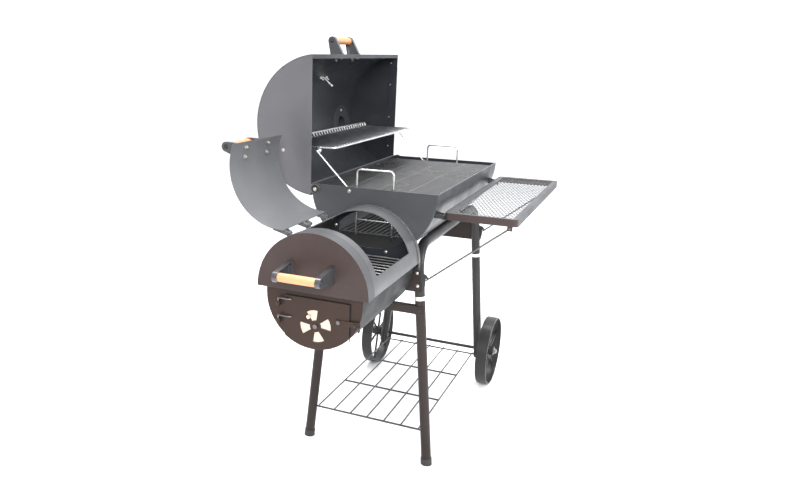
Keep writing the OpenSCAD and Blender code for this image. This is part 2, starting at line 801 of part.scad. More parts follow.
// Bar that drops over a peg beside the door
module door_latch() color([0.33, 0.26, 0.23]) place() {
    along(door_x - 2.6, 2.2) difference() {
        polygon([[-64, 571], [-64, 583], [-126, 583], [-128, 581], [-128, 571]]);
        translate(latch_pivot) circle(3 + pin_gap);
        translate(latch_pin) circle(3.8);
        translate([latch_pin[0] - 4.3, 560]) square([8.6, latch_pin[1] - 560]);
    }
    translate([door_x - 12, -128, 562]) cube([11.6, 2, 12]);
}

// Air disc behind the door, with a knob that comes out through a slot
module vent_disc() color([0.87, 0.83, 0.77]) place() {
    difference() {
        disc(door_x + 2.3, door_x + 8, vent_c, vent_out + 4);
        disc(door_x + 3.8, door_x + 9, vent_c, vent_out + 2);
        disc(door_x, door_x + 5, vent_c, 3 + pin_gap);
        along(door_x, 6) translate(vent_c) for (k = [0:3]) intersection() {
            difference() {
                circle(vent_out);
                circle(vent_in);
            }
            wedge(vent_start + vent_sweep + vent_cover + 90 * k, vent_start + 90 - vent_cover + 90 * k);
        }
    }
    knob = vent_c + 30 * [cos(knob_angle), sin(knob_angle)];
    disc(door_x - 6, door_x + 3, knob, 2.5);
    disc(door_x - 12, door_x - 5, knob, 4.8);
}

// ---------- front shelf ----------
module rounded(x1, y1, x2, y2, r) {
    translate([x1 + r, y1]) square([x2 - x1 - 2 * r, y2 - y1]);
    translate([x1, y1 + r]) square([x2 - x1, y2 - y1 - 2 * r]);
    for (x = [x1 + r, x2 - r]) for (y = [y1 + r, y2 - r]) translate([x, y]) circle(r);
}

shelf_outer = shelf_inner - shelf_depth;

module shelf_frame() color([0.33, 0.29, 0.28]) place() difference() {
    union() {
        translate([0, 0, shelf_z - shelf_rim]) linear_extrude(shelf_rim) difference() {
            rounded(shelf_near, shelf_outer, shelf_far, shelf_inner, 12);
            rounded(shelf_near + 2, shelf_outer + 2, shelf_far - 2, shelf_inner - 2, 10);
        }
        translate([0, 0, shelf_z - 3]) linear_extrude(sheet) difference() {
            rounded(shelf_near + 1, shelf_outer + 1, shelf_far - 1, shelf_inner - 1, 11);
            rounded(shelf_near + 16, shelf_outer + 16, shelf_far - 16, shelf_inner - 16, 4);
        }
        translate([stay_far + 3, stay_top[0] - 7, stay_top[1] - 6]) cube([2.5, 14, 30]);
        translate([shelf_near, stay_top[0] - 7, stay_top[1] - 6]) cube([2, 14, 14]);
        for (x = [30, far_x - 30]) translate([x - 9, shelf_inner - 4, shelf_axis[1] - 6]) cube([18, 13, 12]);
    }
    for (x = [30, far_x - 30]) disc(x - 12, x + 12, shelf_axis, 3 + pin_gap);
    disc(shelf_near - 1, shelf_near + 4, stay_top, 2.6 + pin_gap);
    disc(stay_far + 2, stay_far + 7, stay_top, 2.6 + pin_gap);
}

// Diamond mesh laid under the shelf's rim
module shelf_mesh() color([0.6, 0.61, 0.62]) place() translate([0, 0, shelf_z - 4.6]) linear_extrude(1.4) {
    cols = 28;
    rows = 10;
    x1 = shelf_near + 14;
    y1 = shelf_outer + 14;
    w = (shelf_far - shelf_near - 28) / cols;
    h = (shelf_depth - 28) / rows;
    t = 3;
    difference() {
        translate([x1 - 1, y1 - 1]) square([cols * w + 2, rows * h + 2]);
        for (i = [0:cols - 1]) for (j = [0:rows - 1])
            translate([x1 + (i + 0.5) * w, y1 + (j + 0.5) * h])
                polygon([[-w / 2 + t, 0], [0, -h / 2 + t / 2], [w / 2 - t, 0], [0, h / 2 - t / 2]]);
    }
}

module shelf_stays() color([0.35, 0.34, 0.33]) place() for (end = [[stay_near, -9], [stay_far, 7]]) {
    x = end[0];
    wire([[x + end[1], stay_top[0], stay_top[1]], [x, stay_top[0], stay_top[1]],
        [x, stay_foot[0], stay_foot[1]], [x - 6, stay_foot[0], stay_foot[1]]], 2.6);
}

module shelf_brackets() color([0.17, 0.17, 0.18]) place() for (x = [30, far_x - 30]) {
    disc(x - 17, x + 17, shelf_axis, 3);
    for (s = [-1, 1]) along(x + s * 13 - 1.5, 3) difference() {
        polygon([shelf_axis + [-3.2, -1.5], shelf_axis + [-1.8, -2.9], shelf_axis + [38, -2.9],
            shelf_axis + [33, 12], shelf_axis + [-3.2, 6]]);
        translate([0, rim_z]) circle(chamber_r);
    }
}

front_frame_tube();
rear_frame_tube();
near_legs();
far_legs();
leg_collars();
foot_caps();
cradle_plates();
crossbar();
stay_hooks();
wire_shelf();
axle();
frame_bolts();
front_wheel();
rear_wheel();
chamber_shell();
chamber_near_end();
chamber_far_end();
lid_hinge_pins();
grate_ledges();
cooking_grate_near();
cooking_grate_far();
charcoal_rests();
charcoal_grate();
lift_loops();
lid_shell();
lid_near_end();
lid_far_end();
lid_seal_strips();
lid_bolts();
lid_handle_brackets();
lid_grip();
thermometer();
vent_plate();
chimney_pipe();
chimney_cap();
warming_rack();
rack_struts();
firebox_trough();
firebox_front();
firebox_inner_wall();
firebox_hood();
firebox_hood_end();
firebox_grate();
carry_handle_brackets();
carry_grip();
hatch_plate();
hatch_hinge_arms();
hatch_handle_brackets();
hatch_grip();
hatch_hinge_pins();
door_plate();
door_fittings();
door_sockets();
door_latch();
vent_disc();
shelf_frame();
shelf_mesh();
shelf_stays();
shelf_brackets();
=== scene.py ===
"""Looks of the offset smoker: materials, wires, mesh, fasteners, light and camera."""

import json
import math

import bpy
from mathutils import Matrix, Vector


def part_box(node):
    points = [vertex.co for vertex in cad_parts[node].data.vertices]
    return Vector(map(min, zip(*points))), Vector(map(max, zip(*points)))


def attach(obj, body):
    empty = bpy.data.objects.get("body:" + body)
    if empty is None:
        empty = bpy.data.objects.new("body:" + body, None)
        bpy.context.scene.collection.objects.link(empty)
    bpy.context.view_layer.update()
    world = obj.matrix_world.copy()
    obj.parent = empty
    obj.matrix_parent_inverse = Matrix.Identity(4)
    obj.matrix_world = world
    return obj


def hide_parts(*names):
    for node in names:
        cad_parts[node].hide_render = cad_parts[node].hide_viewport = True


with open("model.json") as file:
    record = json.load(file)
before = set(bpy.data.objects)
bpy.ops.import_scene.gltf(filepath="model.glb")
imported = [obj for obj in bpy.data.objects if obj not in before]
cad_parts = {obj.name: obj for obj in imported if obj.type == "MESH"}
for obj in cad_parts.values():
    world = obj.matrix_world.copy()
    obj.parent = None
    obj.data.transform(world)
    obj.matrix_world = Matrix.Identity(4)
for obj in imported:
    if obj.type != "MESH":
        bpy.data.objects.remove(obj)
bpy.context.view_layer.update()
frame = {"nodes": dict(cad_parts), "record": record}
MM = 0.001

# ---------- places, in millimetres from the chamber's near end, middle plane and the floor ----------
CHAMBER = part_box("chamber_shell")
NEAR_X = CHAMBER[0][0]
MID_Y = (CHAMBER[0][1] + CHAMBER[1][1]) / 2


def at(x, y, z):
    """A point of the measuring frame, as metres in the scene."""
    return Vector((NEAR_X + x * MM, MID_Y + y * MM, z * MM))


def span(node):
    """A node's box in millimetres, as (low, high) in the measuring frame."""
    return [Vector(((p[0] - NEAR_X) / MM, (p[1] - MID_Y) / MM, p[2] / MM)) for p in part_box(node)]


def middle(node):
    """The centre of a node's box."""
    low, high = span(node)
    return (low + high) / 2


X, Y, Z = Vector((1, 0, 0)), Vector((0, 1, 0)), Vector((0, 0, 1))
LENGTH = 700
RIM_Z = 836
CHAMBER_R = 189
LID_CENTRE = Vector((0, 172, 998))
LID_R = 197.5
HOOD_CENTRE = Vector((0, 0, 642))
HATCH_HINGE = Vector((0, 104, 763))
HATCH_OPEN = math.radians(143)
# The closed hatch's two edges, in degrees round the hood's axis.
HATCH_ANGLES = (52, 165)
HATCH_INNER_R = 148.3
# These are (y, z) places, for things that lie along X.
LID_PIVOT = (176, 822)
STRUT_FOOT = (71, 824)
STRUT_TOP = (177.5, 929)
RACK_PIVOT = (282.5, 927)
LATCH_PEG = (-114, 575)


def round_lid(angle, x, r):
    """A point at that angle round the lid's own axis."""
    a = math.radians(angle)
    return LID_CENTRE + Vector((x, r * math.cos(a), r * math.sin(a)))


def hatch_at_rest(p):
    """Turns a point of the closed hatch to where it lies open."""
    return Matrix.Rotation(-HATCH_OPEN, 3, "X") @ (p - HATCH_HINGE) + HATCH_HINGE


# ---------- mesh helpers ----------
class Piece:
    """Gathers vertices and faces, then becomes one object on one body."""

    def __init__(self):
        """Starts empty."""
        self.verts = []
        self.faces = []

    def add(self, verts, faces):
        """Adds one closed shape, given in millimetres."""
        base = len(self.verts)
        self.verts += verts
        self.faces += [[base + i for i in face] for face in faces]

    def make(self, name, body, material, slot, replaces=()):
        """Makes the object, and says what it rides on and which nodes it replaces."""
        mesh = bpy.data.meshes.new(name)
        mesh.from_pydata([at(*v) for v in self.verts], [], self.faces)
        mesh.validate()
        obj = bpy.data.objects.new(name, mesh)
        bpy.context.scene.collection.objects.link(obj)
        mesh.materials.append(material)
        mesh.shade_smooth()
        mesh.set_sharp_from_angle(angle=math.radians(35))
        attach(obj, body)
        if replaces:
            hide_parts(*replaces)


def rounded(points, radius, steps=6):
    """Replaces each corner of a route by an arc of that radius."""
    points = [Vector(p) for p in points]
    out = [points[0]]
    for before, corner, after in zip(points, points[1:], points[2:]):
        a, b = (before - corner).normalized(), (after - corner).normalized()
        reach = 0.49 * min((before - corner).length, (after - corner).length)
        cut = min(radius / math.tan(a.angle(b) / 2), reach)
        start, end = corner + a * cut, corner + b * cut
        for k in range(steps + 1):
            t = k / steps
            out.append(start * (1 - t) ** 2 + corner * 2 * t * (1 - t) + end * t * t)
    return out + [points[-1]]


def ring_frames(points):
    """A turning frame at each point of a route that doesn't twist."""
    frames = []
    normal = None
    for i, p in enumerate(points):
        ahead = points[min(i + 1, len(points) - 1)] - points[max(i - 1, 0)]
        along = ahead.normalized()
        if normal is None:
            normal = along.orthogonal().normalized()
        normal = (normal - along * normal.dot(along)).normalized()
        frames.append((p, normal, along.cross(normal)))
    return frames


def ring(centre, u, v, r, sides):
    """The points of one circle in the plane of u and v."""
    angles = [2 * math.pi * k / sides for k in range(sides)]
    return [centre + (u * math.cos(a) + v * math.sin(a)) * r for a in angles]


def tube_faces(rings, sides):
    """Faces between neighbouring rings, and one on each end."""
    faces = []
    for i in range(rings - 1):
        for k in range(sides):
            n = (k + 1) % sides
            faces.append([i * sides + k, i * sides + n, (i + 1) * sides + n, (i + 1) * sides + k])
    faces.append(list(range(sides))[::-1])
    faces.append([(rings - 1) * sides + k for k in range(sides)])
    return faces


def wire(piece, points, r, sides=10):
    """A round wire with closed ends."""
    points = [Vector(p) for p in points]
    verts = []
    for p, u, v in ring_frames(points):
        verts += ring(p, u, v, r, sides)
    piece.add(verts, tube_faces(len(points), sides))


def turned(piece, origin, axis, profile, sides=40):
    """A turned solid: profile is (distance along the axis, radius) pairs."""
    origin, axis = Vector(origin), Vector(axis).normalized()
    u = axis.orthogonal().normalized()
    v = axis.cross(u)
    verts = []
    for d, r in profile:
        verts += ring(origin + axis * d, u, v, r, sides)
    piece.add(verts, tube_faces(len(profile), sides))


def block(piece, origin, size, axes=(X, Y, Z)):
    """A box centred on origin, along the given axes."""
    corners = []
    for i in (-0.5, 0.5):
        for j in (-0.5, 0.5):
            for k in (-0.5, 0.5):
                offset = axes[0] * (i * size[0]) + axes[1] * (j * size[1]) + axes[2] * (k * size[2])
                corners.append(Vector(origin) + offset)
    piece.add(corners, [[0, 1, 3, 2], [4, 6, 7, 5], [0, 4, 5, 1], [2, 3, 7, 6], [0, 2, 6, 4], [1, 5, 7, 3]])


def dome(piece, origin, axis, r):
    """A low domed bolt head on a thin washer."""
    height = 0.55 * r
    profile = [(-0.6, 1.35 * r), (0.5, 1.35 * r), (0.6, r)]
    profile += [(0.6 + height * math.sin(a), r * math.cos(a)) for a in (0.4, 0.8, 1.1, 1.35, 1.5)]
    turned(piece, origin, axis, profile, 24)


def hex_nut(piece, origin, axis, r, height):
    """A hexagon nut with the screw's end standing out of it."""
    turned(piece, origin, axis, [(-0.4, 1.3 * r), (0.8, 1.3 * r), (0.9, 1.25 * r)], 24)
    turned(piece, origin, axis, [(0.8, 0.95 * r), (1.2, r), (height - 0.4, r), (height, 0.9 * r)], 6)
    screw = [(height - 0.2, 0.5 * r), (height + 2, 0.5 * r), (height + 2.4, 0.42 * r)]
    turned(piece, origin, axis, screw, 16)


# ---------- materials ----------
def material(name, colour, roughness, metallic=0.0):
    """A new material with its node tree and its shader."""
    mat = bpy.data.materials.new(name)
    mat.use_nodes = True
    shader = mat.node_tree.nodes["Principled BSDF"]
    shader.inputs["Base Color"].default_value = (*colour, 1)
    shader.inputs["Roughness"].default_value = roughness
    shader.inputs["Metallic"].default_value = metallic
    return mat, mat.node_tree, shader


def noise(tree, scale, detail=3.0, stretch=(1, 1, 1)):
    """Noise from 0 to 1, in the object's own space."""
    nodes, links = tree.nodes, tree.links
    where = nodes.new("ShaderNodeTexCoord")
    mapping = nodes.new("ShaderNodeMapping")
    mapping.inputs["Scale"].default_value = stretch
    texture = nodes.new("ShaderNodeTexNoise")
    texture.inputs["Scale"].default_value = scale
    texture.inputs["Detail"].default_value = detail
    links.new(where.outputs["Object"], mapping.inputs["Vector"])
    links.new(mapping.outputs["Vector"], texture.inputs["Vector"])
    return texture.outputs["Fac"]


def remap(tree, value, low, high, out_low, out_high):
    """Stretches one range of values to another, and keeps within it."""
    node = tree.nodes.new("ShaderNodeMapRange")
    for key, number in (("From Min", low), ("From Max", high), ("To Min", out_low), ("To Max", out_high)):
        node.inputs[key].default_value = number
    tree.links.new(value, node.inputs["Value"])
    return node.outputs["Result"]


def mix(tree, factor, first, second):
    """Mixes two colours; each is an output or three numbers."""
    node = tree.nodes.new("ShaderNodeMix")
    node.data_type = "RGBA"
    tree.links.new(factor, node.inputs["Factor"])
    for key, value in (("A", first), ("B", second)):
        socket = [s for s in node.inputs if s.name == key and s.type == "RGBA"][0]
        if isinstance(value, tuple):
            socket.default_value = (*value, 1)
        else:
            tree.links.new(value, socket)
    return [s for s in node.outputs if s.type == "RGBA"][0]


def relief(tree, shader, height, strength, distance, under=None):
    """Small bumps on the surface, over another normal if one is given."""
    bump = tree.nodes.new("ShaderNodeBump")
    bump.inputs["Strength"].default_value = strength
    bump.inputs["Distance"].default_value = distance
    tree.links.new(height, bump.inputs["Height"])
    if under is not None:
        tree.links.new(under, bump.inputs["Normal"])
    tree.links.new(bump.outputs["Normal"], shader.inputs["Normal"])


def edge_mask(tree, radius):
    """1 along sharp edges, and a normal that rounds them."""
    nodes, links = tree.nodes, tree.links
    soft = nodes.new("ShaderNodeBevel")
    soft.samples = 4
    soft.inputs["Radius"].default_value = radius
    flat = nodes.new("ShaderNodeNewGeometry")
    dot = nodes.new("ShaderNodeVectorMath")
    dot.operation = "DOT_PRODUCT"
    links.new(soft.outputs["Normal"], dot.inputs[0])
    links.new(flat.outputs["Normal"], dot.inputs[1])
    return remap(tree, dot.outputs["Value"], 0.97, 0.80, 0.0, 1.0), soft.outputs["Normal"]


def product(tree, first, second):
    """Two values, or a value and a number, multiplied."""
    node = tree.nodes.new("ShaderNodeMath")
    node.operation = "MULTIPLY"
    tree.links.new(first, node.inputs[0])
    if isinstance(second, float):
        node.inputs[1].default_value = second
    else:
        tree.links.new(second, node.inputs[1])
    return node.outputs[0]


def tinted(colour, factor):
    """A colour made lighter or darker."""
    return tuple(min(1.0, c * factor) for c in colour)


def axes_of(tree, kind, output):
    """The X, Y and Z of a new node's vector."""
    source = tree.nodes.new(kind)
    split = tree.nodes.new("ShaderNodeSeparateXYZ")
    tree.links.new(source.outputs[output], split.inputs[0])
    return split.outputs


def paint(name, colour, roughness=0.42, worn=(0.30, 0.29, 0.28), wear=0.35, peel=0.05, shine=0.3):
    """Satin stove paint: fine orange peel, handling marks and rubbed edges."""
    mat, tree, shader = material(name, colour, roughness)
    shader.inputs["Coat Weight"].default_value = 0.05
    shader.inputs["Coat Roughness"].default_value = 0.32
    shader.inputs["Specular IOR Level"].default_value = shine
    edges, soft = edge_mask(tree, 0.0013)
    clouds = remap(tree, noise(tree, 5, 4), 0.35, 0.7, 0, 1)
    cloudy = mix(tree, clouds, tinted(colour, 0.86), tinted(colour, 1.16))
    grains = remap(tree, noise(tree, 1400, 1), 0.62, 0.75, 0, 0.35)
    speckled = mix(tree, grains, cloudy, tinted(colour, 1.9))
    patchy = product(tree, edges, remap(tree, noise(tree, 60, 3), 0.4, 0.6, 0.15, 1))
    tree.links.new(mix(tree, product(tree, patchy, wear), speckled, worn), shader.inputs["Base Color"])
    smudges = remap(tree, noise(tree, 14, 5), 0.3, 0.7, roughness - 0.07, roughness + 0.1)
    tree.links.new(smudges, shader.inputs["Roughness"])
    relief(tree, shader, noise(tree, 700, 2), peel, 0.0004, soft)
    return mat


def metal(name, colour, roughness):
    """Plated or bare metal with a fine grain and dull patches."""
    mat, tree, shader = material(name, colour, roughness, 1.0)
    tarnish = remap(tree, noise(tree, 35, 4), 0.35, 0.7, 0, 1)
    tree.links.new(mix(tree, tarnish, colour, tinted(colour, 0.72)), shader.inputs["Base Color"])
    grain = noise(tree, 300, 2)
    dull = remap(tree, grain, 0.3, 0.7, roughness - 0.06, roughness + 0.12)
    tree.links.new(dull, shader.inputs["Roughness"])
    relief(tree, shader, grain, 0.06, 0.0003)
    return mat


def moulded(name, colour, roughness, coat=0.0, grain=0.08):
    """Moulded plastic or rubber with a fine grain."""
    mat, tree, shader = material(name, colour, roughness)
    shader.inputs["Coat Weight"].default_value = coat
    shader.inputs["Coat Roughness"].default_value = 0.18
    edges, soft = edge_mask(tree, 0.0016)
    scuffed = mix(tree, remap(tree, edges, 0, 1, 0, 0.25), colour, tinted(colour, 3.0))
    tree.links.new(scuffed, shader.inputs["Base Color"])
    worn = remap(tree, noise(tree, 40, 4), 0.3, 0.7, roughness - 0.06, roughness + 0.1)
    tree.links.new(worn, shader.inputs["Roughness"])
    relief(tree, shader, noise(tree, 900, 2), grain, 0.0004, soft)
    return mat


def wood(name, lengthways):
    """Oiled pale wood, with its grain along one axis."""
    light, dark = (0.66, 0.29, 0.135), (0.50, 0.19, 0.075)
    mat, tree, shader = material(name, light, 0.42)
    shader.inputs["Coat Weight"].default_value = 0.3
    shader.inputs["Coat Roughness"].default_value = 0.25
    along = tuple(0.06 if axis == lengthways else 1.0 for axis in "XYZ")
    streaks = noise(tree, 260, 5, along)
    figure = noise(tree, 60, 3, along)
    base = mix(tree, remap(tree, figure, 0.35, 0.65, 0, 1), light, dark)
    pores = remap(tree, streaks, 0.52, 0.70, 0, 0.55)
    tree.links.new(mix(tree, pores, base, tinted(dark, 0.7)), shader.inputs["Base Color"])
    tree.links.new(remap(tree, streaks, 0.3, 0.7, 0.36, 0.55), shader.inputs["Roughness"])
    relief(tree, shader, streaks, 0.25, 0.0004)
    return mat


def cast(name, colour):
    """Oiled rough iron."""
    mat, tree, shader = material(name, colour, 0.5)
    tone = remap(tree, noise(tree, 90, 4), 0.4, 0.7, 0, 1)
    tree.links.new(mix(tree, tone, colour, tinted(colour, 1.8)), shader.inputs["Base Color"])
    tree.links.new(remap(tree, noise(tree, 25, 3), 0.3, 0.7, 0.38, 0.62), shader.inputs["Roughness"])
    relief(tree, shader, noise(tree, 500, 4), 0.3, 0.0006)
    return mat


def banded(name, pale, edge):
    """The legs' pale collars, with a green mark on the inner side of the near front one."""
    mat, tree, shader = material(name, pale, 0.5)
    place = axes_of(tree, "ShaderNodeTexCoord", "Object")
    start = at(24, -144, 0)
    inner = remap(tree, place["Y"], start.y, start.y + 0.002, 0, 1)
    front = remap(tree, place["Y"], start.y + 0.05, start.y + 0.06, 1, 0)
    near = remap(tree, place["X"], start.x + 0.1, start.x + 0.11, 1, 0)
    marked = product(tree, product(tree, inner, front), near)
    dusty = mix(tree, remap(tree, noise(tree, 80, 3), 0.3, 0.7, 0, 1), pale, tinted(pale, 0.88))
    tree.links.new(mix(tree, marked, dusty, edge), shader.inputs["Base Color"])
    relief(tree, shader, noise(tree, 600, 2), 0.05, 0.0003)
    return mat


def grey_flange(mat, colour):
    """The end's folded flange has the hood's grey paint; its flat face stays brown."""
    tree = mat.node_tree
    shader = tree.nodes["Principled BSDF"]
    brown = shader.inputs["Base Color"].links[0].from_socket
    flange = remap(tree, axes_of(tree, "ShaderNodeNewGeometry", "Normal")["X"], -0.8, -0.5, 0, 1)
    tree.links.new(mix(tree, flange, brown, colour), shader.inputs["Base Color"])
    return mat


def painted_shade_below(mat, height):
    """Upward faces lower than one height are painted near-black and matt: painted shade on the low floor
    under the grates.
    """
    tree = mat.node_tree
    shader = tree.nodes["Principled BSDF"]
    unshaded = shader.inputs["Base Color"].links[0].from_socket
    top = at(0, 0, height).z
    low = remap(tree, axes_of(tree, "ShaderNodeTexCoord", "Object")["Z"], top - 0.015, top, 1, 0)
    upward = remap(tree, axes_of(tree, "ShaderNodeNewGeometry", "Normal")["Z"], 0.02, 0.1, 0, 1)
    # Painted shade: near-black, matt colour on upward faces low inside the trough and the chamber.
    painted_shade = product(tree, upward, low)
    tree.links.new(mix(tree, painted_shade, unshaded, (0.003, 0.003, 0.0033)), shader.inputs["Base Color"])
    polish = shader.inputs["Roughness"].links[0].from_socket
    dull = tree.nodes.new("ShaderNodeMath")
    dull.operation = "MAXIMUM"
    tree.links.new(polish, dull.inputs[0])
    tree.links.new(product(tree, painted_shade, 0.85), dull.inputs[1])
    tree.links.new(dull.outputs[0], shader.inputs["Roughness"])
    return mat


BROWN_END = paint("end paint", (0.038, 0.026, 0.024), 0.42, shine=0.18)
MATERIALS = {
    "frame_paint": paint("frame paint", (0.015, 0.014, 0.014), 0.36, shine=0.32),
    "leg_paint": paint("leg paint", (0.020, 0.014, 0.012), 0.36, shine=0.18),
    "body_paint": paint("body paint", (0.040, 0.041, 0.045), 0.44),
    "hood_paint": paint("hood paint", (0.055, 0.055, 0.058), 0.34, shine=0.5),
    "end_paint": grey_flange(BROWN_END, (0.055, 0.055, 0.058)),
    "door_paint": paint("door paint", (0.028, 0.016, 0.012), 0.40, shine=0.15),
    "wire_coat": paint("wire coat", (0.016, 0.016, 0.017), 0.30, wear=0.1, shine=0.7),
    "plated": metal("plated wire", (0.66, 0.66, 0.65), 0.28),
    "zinc": metal("zinc", (0.55, 0.53, 0.48), 0.34),
    "iron": cast("oiled iron", (0.018, 0.018, 0.019)),
    "bracket_black": moulded("bracket black", (0.030, 0.031, 0.034), 0.32, 0.5),
    "cap_black": moulded("cap black", (0.014, 0.014, 0.014), 0.55),
    "collar": banded("collar", (0.80, 0.83, 0.80), (0.28, 0.60, 0.12)),
    "wood": wood("wood along X", "X"),
    "vent": paint("cream disc", (0.50, 0.41, 0.33), 0.5, worn=(0.5, 0.42, 0.34), wear=0.2),
    "mesh": paint("mesh paint", (0.05, 0.05, 0.052), 0.36, wear=0.5),
}
INSIDE = paint("inside paint", (0.016, 0.018, 0.022), 0.36, shine=0.36)
VENT_PLATE = paint("vent plate paint", (0.026, 0.028, 0.031), 0.40, shine=0.36)
# The trough and the chamber paints carry painted shade on their low inner floors, under the grates.
TROUGH = painted_shade_below(paint("trough paint", (0.017, 0.017, 0.018), 0.48, shine=0.14), 600)
CHAMBER_PAINT = painted_shade_below(paint("chamber paint", (0.016, 0.018, 0.022), 0.36, shine=0.36), 700)
DARK_WIRE = metal("stay wire", (0.16, 0.16, 0.16), 0.4)
RACK_WIRE = metal("rack wire", (0.72, 0.72, 0.72), 0.3)
# A darker copy of the rack wire for the deck's middle runs: painted shade under the open lid.
SHADED_DECK_WIRE = metal("rack wire with painted shade", (0.20, 0.205, 0.215), 0.34)
FIRE_BARS = metal("fire bars", (0.21, 0.208, 0.205), 0.34)
# White diffuse finish for the thermometer's steel stem and nuts inside the lid: a painted highlight in place
# of their glints.
STEM_PAINTED_GLINT = moulded("thermometer stem painted glint", (0.62, 0.62, 0.60), 0.3)
HINGE_ROD = metal("hinge rod", (0.16, 0.15, 0.15), 0.36)
HATCH = paint("hatch paint", (0.085, 0.086, 0.091), 0.40)
LID_END = paint("lid end paint", (0.083, 0.081, 0.088), 0.42)
WOOD_ACROSS = wood("wood along Y", "Y")
BLACK_SCREW = metal("black screw", (0.05, 0.05, 0.052), 0.35)
DIAL = moulded("dial face", (0.78, 0.78, 0.74), 0.4, 0.6, 0.02)
RED = moulded("pointer red", (0.55, 0.02, 0.015), 0.4, 0.2, 0.02)

for sub in frame["record"]["subparts"]:
    node = frame["nodes"][sub["node"]]
    node.data.materials.clear()
    node.data.materials.append(MATERIALS[sub["material_slot"]])
for name in ("firebox_inner_wall", "lid_far_end", "chamber_far_end", "lid_shell", "lid_seal_strips"):
    frame["nodes"][name].data.materials[0] = INSIDE
for name, mat in (
    ("lid_near_end", LID_END), ("firebox_trough", TROUGH), ("shelf_stays", DARK_WIRE), ("hatch_plate", HATCH),
    ("vent_plate", VENT_PLATE), ("door_fittings", HINGE_ROD), ("thermometer", STEM_PAINTED_GLINT),
    ("chamber_shell", CHAMBER_PAINT), ("cradle_plates", MATERIALS["leg_paint"])
):
    frame["nodes"][name].data.materials[0] = mat


# ---------- grates ----------
def cooking_grate(node, body):
    """Round wires front to back on five rods; the near grate has two stub wires to the end panel."""
    low, high = span(node)
    low.x = max(low.x, 24)
    piece = Piece()
    top = high.z - 0.6
    pitch, r = 11.5, 1.6
    count = round((high.x - low.x) / pitch)
    for i in range(count + 1):
        x = low.x + r + (high.x - low.x - 2 * r) * i / count
        wire(piece, [(x, low.y + 2, top - r), (x, high.y - 2, top - r)], r, 8)
    for y in (low.y + 2.2, -90, 0, 90, high.y - 2.2):
        wire(piece, [(low.x + 1, y, top - 2 * r), (high.x - 1, y, top - 2 * r)], 2.1, 10)
    if node == "cooking_grate_near":
        for y in (-150, 150):
            wire(piece, [(low.x + 4, y, top - 2 * r), (12, y, top - 2 * r)], 1.9)
    piece.make(node + "_wires", body, MATERIALS["wire_coat"], "wire_coat", [node])


cooking_grate("cooking_grate_near", "near_grate")
cooking_grate("cooking_grate_far", "far_grate")


def firebox_grate():
    """Bars across the firebox on three long carriers."""
    low, high = span("firebox_grate")
    piece = Piece()
    gaps, bar_r, carrier_r = 13, 3, 2.2
    for i in range(gaps + 1):
        x = low.x + 4 + (high.x - low.x - 8) * i / gaps
        wire(piece, [(x, low.y, high.z - bar_r), (x, high.y, high.z - bar_r)], bar_r, 12)
    for y in (low.y + 4, 0, high.y - 4):
        wire(piece, [(low.x, y, low.z + carrier_r), (high.x, y, low.z + carrier_r)], carrier_r, 12)
    piece.make("firebox_grate_bars", "stand", FIRE_BARS, "iron", ["firebox_grate"])


firebox_grate()


def charcoal_grate():
    """Long bars on cross bars, with the bent wire loops that lift it."""
    low, high = span("charcoal_grate")
    piece = Piece()
    gaps, bar_r, cross_gaps, cross_r = 14, 2.5, 4, 2.2
    for i in range(gaps + 1):
        y = low.y + bar_r + (high.y - low.y - 2 * bar_r) * i / gaps
        wire(piece, [(low.x, y, high.z - bar_r), (high.x, y, high.z - bar_r)], bar_r, 10)
    for i in range(cross_gaps + 1):
        x = low.x + 3 + (high.x - low.x - 6) * i / cross_gaps
        wire(piece, [(x, low.y, low.z + cross_r), (x, high.y, low.z + cross_r)], cross_r, 10)
    piece.make("charcoal_grate_bars", "coal_grate", MATERIALS["iron"], "iron", ["charcoal_grate"])
    low, high = span("lift_loops")
    loops = Piece()
    r, foot, brace_z = 3, 8, 741
    for x, inward in ((low.x + r, 1), (high.x - r, -1)):
        y1, y2, bottom = low.y + r, high.y - r, low.z + r
        toe = x + foot * inward
        route = [(toe, y1, bottom), (x, y1, bottom), (x, y1, high.z - r), (x, y2, high.z - r)]
        route += [(x, y2, bottom), (toe, y2, bottom)]
        wire(loops, rounded(route, 13), r, 14)
        wire(loops, [(x, y1, brace_z), (x, y2, brace_z)], 2, 10)
    loops.make("lift_loop_wires", "coal_grate", MATERIALS["plated"], "plated", ["lift_loops"])


charcoal_grate()


